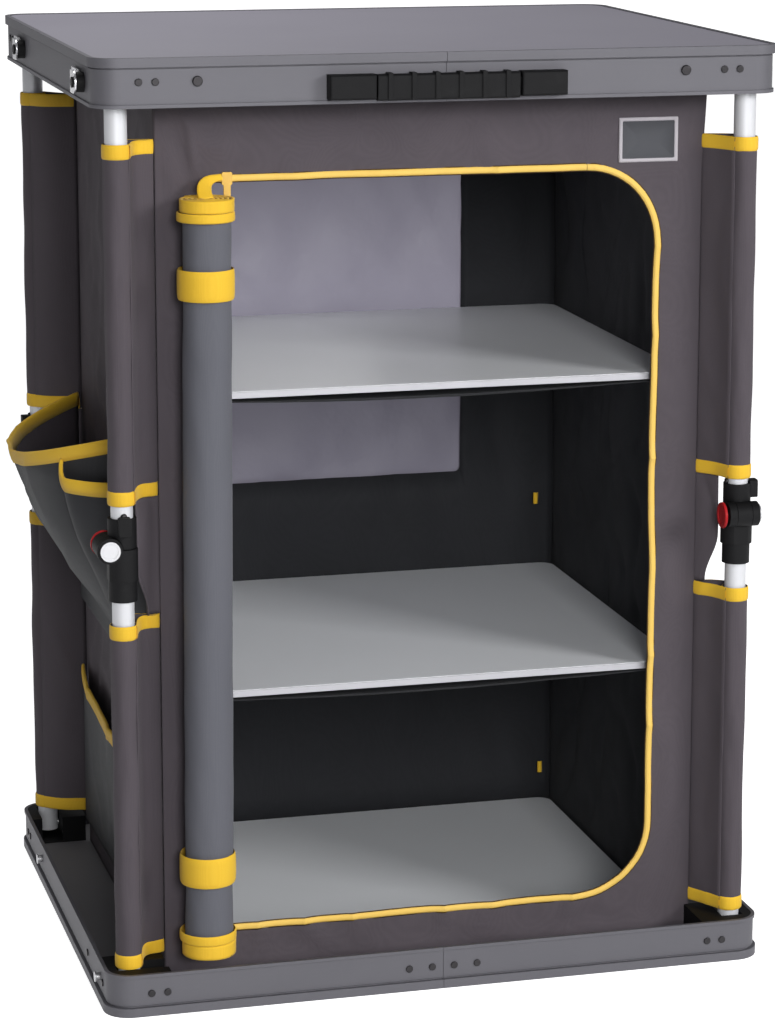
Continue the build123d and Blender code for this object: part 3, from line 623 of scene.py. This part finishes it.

# %% [markdown]
# ## Leg sleeves
# Each leg half runs in a cloth sleeve. The maker folds one strip round the tube and sews both layers
# to the cabinet's corner. In the lesson the round part and the flat part are two pieces, because the
# round part swings with its leg while the flat part stays on the cabinet. They meet where the
# strip leaves the tube, so no step shows.

# %% Sleeve shapes
LEGS = (  # name, x, y, then the foot and head of its lower and upper sleeve
    ("front_left", -0.276, -0.227, (0.038, 0.343), (0.448, 0.752)),
    ("front_right", 0.276, -0.227, (0.042, 0.342), (0.442, 0.744)),
    ("rear_right", 0.276, 0.227, (0.044, 0.343), (0.449, 0.752)),
    ("rear_left", -0.276, 0.227, (0.044, 0.343), (0.449, 0.752)))
SLEEVE_RADIUS = 0.0114
TAPE_HEIGHT = 0.012
TAPE_PROUD = 0.0008
TAPE_LIP = 0.0004
WEB_GAP = 0.0006
TAPE_PROFILE = ((0.0, 0.0), (0.06, 0.75), (0.2, 1.0), (0.5, 1.06), (0.8, 1.0), (0.94, 0.75),
                (1.0, 0.0))
ROWS = 44


def tube_ring(x, y, radius, steps=36):
    """Points on a circle round (x, y)."""
    return [(x + radius * math.cos(math.tau * s / steps), y + radius * math.sin(math.tau * s / steps))
            for s in range(steps)]


def ring_piece(name, rings, finish, body, ends=False):
    """A closed tube through rings of points."""
    count = len(rings[0])
    points, faces = through(rings, around=True)
    if ends:
        faces += [tuple(reversed(range(count))), tuple(range(len(points) - count, len(points)))]
    return piece(name, points, faces, finish, body)


def leg_sleeve(name, x, y, low, high, body, seed):
    """The round part of one sleeve: snug, with slight slack between its ends."""
    rings = []
    for row in range(ROWS + 1):
        z = low + (high - low) * row / ROWS
        ease = blend_in(min(z - low, high - z), 0.03)
        ring = []
        for dx, dy in tube_ring(0.0, 0.0, 1.0):
            radius = SLEEVE_RADIUS + 0.001 * cloud(dx * 1.5 + seed, dy * 1.5, z * 22.0) * ease
            ring.append((x + dx * radius, y + dy * radius, z))
        rings.append(ring)
    made = ring_piece(name, rings, outer_cloth, body)
    thicken(made, 0.0008)
    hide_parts("leg_sleeves")


def soft_band(outline, low, high, proud, closed=True):
    """Points and faces of a tape that stands proud of an outline of (point, outward) pairs."""
    rings = []
    for share, stand in TAPE_PROFILE:
        z = low + (high - low) * share
        off = proud * stand
        rings.append([(px + ox * off, py + oy * off, z) for (px, py), (ox, oy) in outline])
    return through(rings, around=closed)


def join_parts(name, parts, finish, body):
    """One piece from several sets of points and faces."""
    points, faces = [], []
    for some_points, some_faces in parts:
        start = len(points)
        points += some_points
        faces += [tuple(i + start for i in face) for face in some_faces]
    return piece(name, points, faces, finish, body)


def round_outline(x, y, radius):
    """A circle as outline points with outward directions."""
    return [((px, py), ((px - x) / radius, (py - y) / radius))
            for px, py in tube_ring(x, y, radius)]


def corner_of(x, y):
    """The cabinet's corner beside a leg, and how deep the flat part folds in between the two."""
    bow = BOW if x > 0 and y < 0 else 0.0
    valley = 0.013 if x < 0 and y < 0 else 0.004
    return Vector((math.copysign(HALF_X, x) + bow, math.copysign(HALF_Y, y))), valley


def flange_row(x, y, z, seed, extra=0.0):
    """The flat part at one height: from the tube's side to the cabinet's corner and back."""
    corner, valley = corner_of(x, y)
    centre = Vector((x, y))
    towards = corner - centre
    away = math.atan2(towards.y, towards.x)
    opening = math.acos(SLEEVE_RADIUS / towards.length)
    inward = Vector((math.copysign(0.1, x), -math.copysign(0.995, y)))
    line = []
    for side in (1, -1):
        out = Vector((math.cos(away + side * opening), math.sin(away + side * opening)))
        touch = centre + SLEEVE_RADIUS * out
        steps = range(13) if side > 0 else range(11, -1, -1)
        for step in steps:
            t = step / 12
            swell = math.sin(math.pi * t)
            lift = (0.0008 + 0.0030 * crumple(t * 0.05 + seed, z, seed + 2.0)) * swell + extra
            fold = math.sin(math.pi * t ** 0.7) ** 1.6
            depth = valley * fold * (1.0 + 0.3 * cloud(seed, z * 7.0, 1.0))
            line.append(tuple(touch.lerp(corner, t) + out * lift + inward * depth) + (z,))
    return line


def row_band(x, y, low, high, seed, proud):
    """A tape on the flat part that follows its folds."""
    return through([flange_row(x, y, low + (high - low) * share, seed, TAPE_LIP + proud * stand)
                    for share, stand in TAPE_PROFILE])


def web_point(x, y, low, high, t, up, seed):
    """The corner's cloth beside the knee: from the corner (t 0) to its hollow free edge (t 1)."""
    corner, valley = corner_of(x, y)
    share = 0.36 + 0.40 * blend_in(up - 0.02, 0.42)
    towards = Vector((x, y)) - corner
    towards *= 1.0 - SLEEVE_RADIUS / towards.length
    inward = Vector((math.copysign(0.617, x), -math.copysign(0.787, y)))
    z = low + (high - low) * up
    wave = valley * 0.4 + 0.0045 * crumple(t * 0.06 + seed, z, seed + 4.0)
    place = corner + towards * t * share + inward * wave * math.sin(math.pi * min(1.0, t * 0.8))
    return (place.x, place.y, z)


# %% [markdown]
# ## Eight sleeves from one recipe
# The legs are alike, so one loop makes each sleeve, its two yellow bindings and its flat part. A
# small web of the same cloth bridges each corner at the knee, where the sleeves leave a gap.

# %% Make the sleeves
WEB_ROWS, WEB_COLUMNS = 27, 13
tape_parts = []
for index, (leg, x, y, lower, upper) in enumerate(LEGS):
    for level, (low, high) in (("lower", lower), ("upper", upper)):
        seed = 10.0 * index + (5.0 if level == "upper" else 0.0)
        body = f"{level}_leg_{leg}"
        leg_sleeve(f"sleeve_{level}_{leg}", x, y, low, high, body, seed)
        ring = round_outline(x, y, SLEEVE_RADIUS)
        ends = ((low - TAPE_LIP, low + TAPE_HEIGHT), (high - TAPE_HEIGHT, high + TAPE_LIP))
        join_parts(f"sleeve_tape_{level}_{leg}",
                   [soft_band(ring, *end, TAPE_PROUD) for end in ends], yellow_tape, body)
        rows = [flange_row(x, y, low + (high - low) * row / ROWS, seed) for row in range(ROWS + 1)]
        flange = piece(f"flange_{level}_{leg}", *through(rows), outer_cloth, "base")
        thicken(flange, 0.0008)
        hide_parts("leg_sleeves")
        collapses(flange)
        tape_parts += [row_band(x, y, *end, seed, TAPE_PROUD + TAPE_LIP) for end in ends]
    foot, head = lower[1] + WEB_GAP, upper[0] - WEB_GAP
    web = sheet_piece(f"corner_web_{leg}",
                      lambda s, t: web_point(x, y, foot, head, s, t, 40.0 + index),
                      WEB_ROWS, WEB_COLUMNS, outer_cloth, "base")
    thicken(web, 0.0016, offset=0.0)
    collapses(web)
flange_tapes = join_parts("flange_tapes", tape_parts, yellow_tape, "base")
collapses(flange_tapes)
print("sleeves:", len(LEGS) * 2)

# %% [markdown]
# ## Knee rivets
# A rivet goes through each upper tube just above its knee. Only its two low domed heads show, and
# each is four rings and a cap.

# %% Rivet heads
RIVET_HEIGHT = 0.4385
RIVET_HEAD = ((0.0030, 0.0088), (0.0030, 0.0102), (0.0024, 0.0112), (0.0012, 0.0116))
RIVET_STEPS = 16


def rivet_head(x, y, out):
    """Points and faces of one head: rings of (radius, distance from the tube's middle) and a cap."""
    level = out.orthogonal().normalized()
    points = []
    for radius, stand in RIVET_HEAD:
        for step in range(RIVET_STEPS):
            turn = math.tau * step / RIVET_STEPS
            place = Vector((x, y)) + out * stand + level * radius * math.cos(turn)
            points.append((place.x, place.y, RIVET_HEIGHT + radius * math.sin(turn)))
    cap = tuple(range(len(points) - RIVET_STEPS, len(points)))
    return points, grid_faces(len(RIVET_HEAD), RIVET_STEPS, around=True) + [cap]


for leg, x, y, *_ in LEGS:
    across = Vector((0.0, 1.0)) if leg in ("front_left", "rear_right") else Vector((1.0, 0.0))
    join_parts(f"knee_rivet_{leg}", [rivet_head(x, y, across * side) for side in (-1, 1)],
               dark_rivet, f"upper_leg_{leg}")
print("rivet heads:", 2 * len(LEGS))

# %% [markdown]
# ## The zip
# A tape is sewn round the doorway, with a coil of plastic teeth along its middle. A profile of ten
# points, in millimetres, is carried round the doorway's outline, and the coil's height goes up and
# down once a tooth. The top run is a piece of its own, because it comes down with the table.

# %% Zip tape and coil
ZIP_PROFILE = ((-3.7, 0.0), (-3.7, 0.7), (-2.8, 0.8), (-2.5, 1.8), (-1.1, 2.4),
               (1.1, 2.4), (2.5, 1.8), (2.8, 0.8), (3.7, 0.7), (3.7, 0.0))
COIL_FACES = range(2, 7)
MM = 0.001
TOOTH, TOOTH_DEPTH = 0.0014, 0.0003
PANEL_FACE = -HALF_Y - 0.0004


def resampled(line, step):
    """Points at an even step along a line of ((x, z), (outward x, outward z))."""
    made = []
    left_over = 0.0
    for here, there in zip(line, line[1:]):
        (place, out), (next_place, next_out) = [[Vector(v) for v in item] for item in (here, there)]
        length = (next_place - place).length
        at = left_over
        while at < length:
            t = at / length
            made.append((tuple(place.lerp(next_place, t)), tuple(out.lerp(next_out, t))))
            at += step
        left_over = at - length
    return made


def wavering(x, z):
    """The doorway's free right edge isn't quite straight: it bows out at half height."""
    return x + 0.003 * blend_in(x - 0.15, 0.05) * cloud(0.3, z * 5.0, 8.0)


def zip_piece(name, line, body):
    """The zip's profile carried along a line in the doorway's plane."""
    rings = []
    for index, ((x, z), (ox, oz)) in enumerate(resampled(line, TOOTH / 2)):
        tooth = TOOTH_DEPTH if index % 2 else 0.0
        base = PANEL_FACE - front_offset(x, z)
        ring = []
        for across, height in ZIP_PROFILE:
            rise = height * MM - (tooth if height > 1.0 else 0.0)
            ring.append((wavering(x, z) + ox * across * MM, base - rise, z + oz * across * MM))
        rings.append(ring)
    # Painted shade and highlight: the tape's outer strips take the dark brown, and the coil the pale
    # yellow.
    made = ring_piece(name, rings, tape_edge_painted_shade, body, ends=True)
    second_finish(made, coil_painted_highlight, lambda number: number % len(ZIP_PROFILE) in COIL_FACES)
    return made


doorway = rounded(*DOOR, DOOR_RADII, SIDE_STEPS, CORNER_STEPS)
top_side = CORNER_STEPS + SIDE_STEPS
door_zip = zip_piece("zip_round_doorway", doorway[top_side:] + doorway[:CORNER_STEPS + 1], "base")
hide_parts("door_zip")
collapses(door_zip)
top_run = zip_piece("zip_along_top", doorway[CORNER_STEPS:top_side + 1], "zip_run")
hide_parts("zip_top_run")
print("zip points:", len(door_zip.data.vertices) + len(top_run.data.vertices))

# %% [markdown]
# ## The rolled door
# The door is a sheet wound five times round itself, its paler inside face outwards, with yellow tape
# on its ends and two straps round it. A spiral whose radius grows by the same step each turn is all
# that a roll is, and a little noise keeps it from looking turned on a lathe.

# %% Roll and straps
ROLL_TOP = (-0.2010, -0.2265, 0.704)
ROLL_FOOT = (-0.2060, -0.2265, 0.0445)
ROLL_RADIUS, ROLL_CORE, ROLL_TURNS, ROLL_START = 0.0236, 0.0015, 5.2, 0.9
ROLL_ROWS, ROLL_COLUMNS = 96, 180
EDGE_ROWS, EDGE_COLUMNS = 7, 150
STRAPS = ((0.1085, 0.135), (0.620, 0.646))


def leans_in(made):
    """Gives a piece of the roll a mesh of its own."""
    collapses(made)


def roll_axis(z):
    """The middle of the roll at one height."""
    t = (z - ROLL_FOOT[2]) / (ROLL_TOP[2] - ROLL_FOOT[2])
    return ROLL_FOOT[0] + (ROLL_TOP[0] - ROLL_FOOT[0]) * t, ROLL_TOP[1]


def squeezed(z):
    """The roll is drawn in under its straps and swells a little between them."""
    tight = sum(math.exp(-((z - (a + b) / 2) / 0.03) ** 2) for a, b in STRAPS)
    return 1.0 - 0.035 * tight + 0.012 * cloud(z * 9.0, 3.3, 7.7)


def roll_point(turn, z, extra=0.0):
    """A point of the roll at that many turns from its core."""
    cx, cy = roll_axis(z)
    radius = ROLL_CORE + (ROLL_RADIUS - ROLL_CORE) * turn / ROLL_TURNS
    angle = math.tau * turn + ROLL_START
    wander = 0.0007 * cloud(math.cos(angle) * 1.4, math.sin(angle) * 1.4 + turn, z * 7.0)
    slants = 0.0006 * cloud(math.cos(angle) * 2.0, z * 24.0 + angle, 5.0)
    radius = radius * squeezed(z) + wander + slants + extra
    return cx + radius * math.cos(angle), cy + radius * math.sin(angle), z


def wound(name, first_turn, low, high, rows, columns, finish, extra=0.0):
    """A sheet wound into the roll from that turn on."""
    return sheet_piece(name, lambda s, t: roll_point(first_turn + (ROLL_TURNS - first_turn) * s,
                                                     low + (high - low) * t, extra),
                       rows, columns, finish, "base")


roll = wound("rolled_door", 0.0, ROLL_FOOT[2], ROLL_TOP[2], ROLL_ROWS, ROLL_COLUMNS, door_cloth)
thicken(roll, 0.0012)
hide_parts("door_roll")
leans_in(roll)


def roll_outline(z, start=4.0, count=48, extra=0.0, share=1.0):
    """The roll's outer turn at one height, as outline points with outward directions."""
    line = []
    cx, cy = roll_axis(z)
    for step in range(count + (0 if share == 1.0 else 1)):
        x, y, _ = roll_point(start + share * step / count, z, extra)
        out = Vector((x - cx, y - cy)).normalized()
        if share == 1.0:
            radius = ROLL_RADIUS * squeezed(z) + extra
            x, y = cx + out.x * radius, cy + out.y * radius
        line.append(((x, y), tuple(out)))
    return line


def bound_edge(name, low, high):
    """The yellow binding of the door's edge, wound up with it, so it fills the roll's end."""
    edge = wound(name, 0.3, low, high, EDGE_ROWS, EDGE_COLUMNS, yellow_tape, 0.0011)
    thicken(edge, 0.0030, offset=0.0)
    leans_in(edge)


bound_edge("roll_head_binding", ROLL_TOP[2] - 0.0098, ROLL_TOP[2] + 0.0008)
bound_edge("roll_foot_binding", ROLL_FOOT[2] - 0.0008, ROLL_FOOT[2] + 0.0115)
tape_sets = [soft_band(roll_outline(low + 0.004, extra=0.0002), low, high, 0.001)
             for low, high in ((ROLL_FOOT[2] + 0.0118, ROLL_FOOT[2] + 0.0205),
                               (ROLL_TOP[2] - 0.0180, ROLL_TOP[2] - 0.0101))]
roll_tapes = join_parts("roll_tapes", tape_sets, yellow_tape, "base")
leans_in(roll_tapes)
strap_sets = []
for low, high in STRAPS:
    middle = (low + high) / 2
    strap_sets.append(soft_band(roll_outline(middle, extra=0.0006), low, high, 0.001))
    loose_end = roll_outline(middle, 4.72, 14, 0.0014, 0.17)
    strap_sets.append(soft_band(loose_end, low + 0.0006, high - 0.0006, 0.0014, False))
straps = join_parts("roll_straps", strap_sets, yellow_tape, "base")
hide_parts("door_straps")
leans_in(straps)
print("turns in the roll:", ROLL_TURNS, "straps:", len(STRAPS))

# %% [markdown]
# ## Where the zip turns into the roll
# At the doorway's upper left the zip's tape leaves the panel and curls down into the roll's head. It
# is a flat tube that follows a curve of three points and grows broader as it turns.

# %% The zip's curl
start, bend, end = [Vector(p) for p in ((-0.168, -0.201, 0.718), (-0.205, -0.205, 0.7235),
                                        (-0.200, -0.226, 0.7035))]
CURL_STEPS = 32
curl_rings = []
for step in range(CURL_STEPS + 1):
    t = step / CURL_STEPS
    middle = start * (1 - t) ** 2 + bend * 2 * t * (1 - t) + end * t * t
    heading = ((bend - start) * (1 - t) + (end - bend) * t).normalized()
    face = Vector((0.0, -1.0, 0.25)).normalized()
    side = heading.cross(face).normalized()
    face = side.cross(heading).normalized()
    half_width = 0.0030 + 0.0034 * blend_in(t - 0.25, 0.5)
    curl_rings.append([tuple(middle + side * half_width * math.cos(math.tau * k / 16)
                             + face * 0.0014 * math.sin(math.tau * k / 16)) for k in range(16)])
curl = ring_piece("zip_curl", curl_rings, yellow_tape, "base", ends=True)
collapses(curl)

# %% [markdown]
# ## Side pockets
# A big pocket hangs open on the left side, a smaller one on its front half, and a flat one lies below
# them. Each is a sheet that leaves the wall at its foot and bows out most at the middle of its mouth,
# where a yellow tape is folded over the edge.

# %% Pocket shapes
WALL_X = -0.2425
BIG_MIDDLE, BIG_HALF = 0.0055, 0.1905
BIG_FOOT, BIG_HEIGHT, BIG_BULGE = 0.262, 0.188, 0.0919
BIG_SHARES = ((0.0, 0.0), (0.12, 0.04), (0.29, 0.235), (0.35, 0.34), (0.43, 0.45), (0.63, 0.70),
              (0.72, 0.79), (1.0, 1.0))
SMALL_FOOT, SMALL_REAR, SMALL_FRONT = 0.318, -0.118, -0.186
LOW_FOOT, LOW_MOUTH, LOW_HALF = 0.040, 0.196, 0.186
MOUTH_TAPE = ((12.0, 0.3), (12.0, 1.4), (6.0, 1.9), (1.0, 1.7), (-0.7, 0.9), (-0.9, -0.4),
              (-0.4, -1.4), (2.0, -2.0), (12.0, -1.8), (12.0, -1.0))


def along(table, t):
    """The value of a table of (place, value) pairs at t, joined by straight runs."""
    for (ta, va), (tb, vb) in zip(table, table[1:]):
        if t <= tb:
            return va + (vb - va) * (t - ta) / (tb - ta)
    return table[-1][1]


def big_x(y, z):
    """The big pocket's face: it bows out most at the middle of its mouth."""
    u = (BIG_MIDDLE - y) / BIG_HALF
    share = along(BIG_SHARES, max(0.0, min(1.0, (z - BIG_FOOT) / BIG_HEIGHT)))
    bulge = BIG_BULGE * (1.0 - min(1.0, abs(u)) ** 2.63) * (1.0 + 0.033 * u) * share
    dent = 0.0045 * crumple(y, z, 101.0) * (1.0 - min(1.0, abs(u))) * blend_in(z - BIG_FOOT, 0.05)
    return WALL_X - 0.001 - bulge - dent


def big_point(s, t):
    """s runs along the mouth from the rear to the front, and t from the foot to the mouth."""
    y = BIG_MIDDLE + BIG_HALF * (1.0 - 2.0 * s)
    rim = 0.4646 * (1 - s) * (1 - 2 * s) + 0.4518 * 4 * s * (1 - s) + 0.4998 * s * (2 * s - 1)
    z = BIG_FOOT + (rim - BIG_FOOT) * t
    return Vector((big_x(y, z), y, z))


def small_point(s, t):
    """The small pocket is sewn on the big one's front end."""
    y = SMALL_REAR + (SMALL_FRONT - SMALL_REAR) * s
    rim = (0.452 + 0.014 * max(0.0, (y + 0.135) / 0.017) ** 2
           + 0.004 * max(0.0, (-0.150 - y) / 0.036) ** 2)
    z = SMALL_FOOT + (rim - SMALL_FOOT) * t
    u = 2.0 * s - 1.0
    swell = 0.014 * (1.0 - abs(u) ** 3) * blend_in(t, 0.8)
    swell *= 0.9 + 0.2 * cloud(y * 30.0, z * 20.0, 9.0)
    return Vector((big_x(y, z) - 0.0022 - swell, y, z))


def low_point(s, t):
    """The low pocket lies almost flat on the wall, and its mouth dips in the middle."""
    u = 2.0 * s - 1.0
    y = -LOW_HALF * u
    middle = 1.0 - u * u
    z = LOW_FOOT + (LOW_MOUTH - 0.007 * middle - LOW_FOOT) * t
    bulge = 0.0095 * middle ** 0.8 * t ** 1.3
    return Vector((WALL_X - 0.002 - bulge - 0.003 * crumple(y, z, 127.0) * middle, y, z))


def pocket(name, point, columns, rows):
    """A pocket's sheet, and the yellow tape folded over its mouth."""
    made = sheet_piece(name, lambda s, t: point(1.0 - s, t), rows, columns, outer_cloth, "base")
    thicken(made, 0.001, lining, 1.0)
    rings = []
    count = columns * 2
    for step in range(count + 1):
        s = step / count
        rim, below = point(s, 1.0), point(s, 0.93)
        ahead = point(min(1.0, s + 0.01), 1.0) - point(max(0.0, s - 0.01), 1.0)
        out = Vector((ahead.y, -ahead.x, 0.0)).normalized()
        down = (below - rim).normalized()
        rings.append([tuple(rim + (down * fall + out * stand) * MM) for fall, stand in MOUTH_TAPE])
    edge = ring_piece(name + "_tape", rings, yellow_tape, "base", ends=True)
    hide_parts("side_pockets")
    for cloth in (made, edge):
        collapses(cloth)
    return made


# %% [markdown]
# ## Three pockets from one recipe
# The big pocket hangs on the wall and carries the small one. Each takes its own points and the size
# that its sheet was cut to, which is more than the flat place it covers.

# %% Make the pockets
big_pocket = pocket("big_pocket", big_point, 72, 44)
pocket("small_pocket", small_point, 34, 26)
pocket("low_pocket", low_point, 60, 30)
print("mouth of the big pocket:", [round(v, 3) for v in big_point(0.5, 1.0)])

# %% [markdown]
# ## Small cloth details
# Under each hanging shelf's bright edge the black cloth that carries the shelf sags a little. Two
# yellow tabs are sewn in the cabinet's rear right corner. On the front panel's upper right there is
# a plain sewn patch with a raised border, which is a rounded rectangle drawn smaller ring by ring.

# %% Shelf hems, tabs and the patch
HEM_HALF, HEM_SAG = 0.232, 0.0085
HEM_ROWS, HEM_COLUMNS = 8, 50
for shelf, under in (("middle_shelf", 0.2620), ("top_shelf", 0.5270)):
    def hem_point(s, t):
        """The hem hangs from the shelf's front edge and comes up again behind it."""
        x = HEM_HALF * (2 * s - 1)
        sag = HEM_SAG * math.sin(math.pi * min(1.0, t * 1.2 + 0.18))
        return (x, -0.1925 + 0.05 * t + 0.001 * cloud(x * 30, t, 3.0),
                under - 0.0006 - sag * (1.0 - (x / 0.236) ** 2))

    hem = sheet_piece(shelf + "_hem", hem_point, HEM_ROWS, HEM_COLUMNS, lining, shelf)
    thicken(hem, 0.0008)
    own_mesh(hem)

TABS = ((0.2155, 0.3302), (0.2225, 0.0482))
for index, (left, low) in enumerate(TABS):
    tab = sheet_piece(f"corner_tab_{index + 1}",
                      lambda s, t: (left + 0.005 * s, 0.1895 - 0.0012 * math.sin(math.pi * s),
                                    low + 0.0115 * t), 7, 5, yellow_tape, "base")
    thicken(tab, 0.0012)
    collapses(tab)

PATCH_PROFILE = ((0.0, -0.0006), (0.0, 0.001), (0.0016, 0.0014), (0.003, 0.0011),
                 (0.0032, 0.0007), (0.018, 0.0007))
BORDER_RINGS = 4
left, right, low, high = PATCH
patch_rings = []
for inset, height in PATCH_PROFILE:
    ring = rounded(left + inset, right - inset, low + inset, high - inset, (0.0008,) * 4, 12, 3)
    patch_rings.append([(x, PANEL_FACE - 0.002 - height, z) for (x, z), _ in ring])
patch = ring_piece("blank_patch", patch_rings, patch_border, "base", ends=True)
second_finish(patch, patch_face, lambda number: number >= BORDER_RINGS * len(patch_rings[0]))
collapses(patch)

# %% [markdown]
# ## Ground and dome
# A pale floor reaches far back and meets a bright dome. Both glow enough to be white in the picture,
# but neither lights the cupboard, so its shaded side stays dark. Only the floor shows in the metal.

# %% Floor and dome
WHITE = (1, 1, 1, 1)
FAR = 9.0
DOME_ROWS, DOME_COLUMNS = 10, 32
pale = Finish("pale_ground", Roughness=0.9, Specular_IOR_Level=0.1, Emission_Color=WHITE,
              Emission_Strength=0.8)
pale.colour(pale.mix(pale.grain(pale.place(), 0.8), tone((248, 248, 250)), WHITE))
glow = Finish("bright_dome", Roughness=1.0, Specular_IOR_Level=0.0, Emission_Color=WHITE,
              Emission_Strength=1.0)
floor_points = [(x, y, -0.0002) for x in (-FAR, FAR) for y in (-FAR, FAR)]
dome_points = []
for row in range(DOME_ROWS):
    lift = math.radians(10 * row)
    dome_points += [(x, y, FAR * math.sin(lift) - 0.01)
                    for x, y in tube_ring(0.0, 0.0, FAR * math.cos(lift), DOME_COLUMNS)]
for name, points, faces, finish in (
        ("ground", floor_points, [(0, 2, 3, 1)], pale),
        ("dome", dome_points, grid_faces(DOME_ROWS, DOME_COLUMNS, around=True), glow)):
    mesh = bpy.data.meshes.new(name)
    mesh.from_pydata(points, [], faces)
    mesh.materials.append(finish.material)
    backdrop = in_scene(name, mesh)
    backdrop.visible_diffuse = False
    backdrop.visible_shadow = False
    backdrop.visible_glossy = name == "ground"
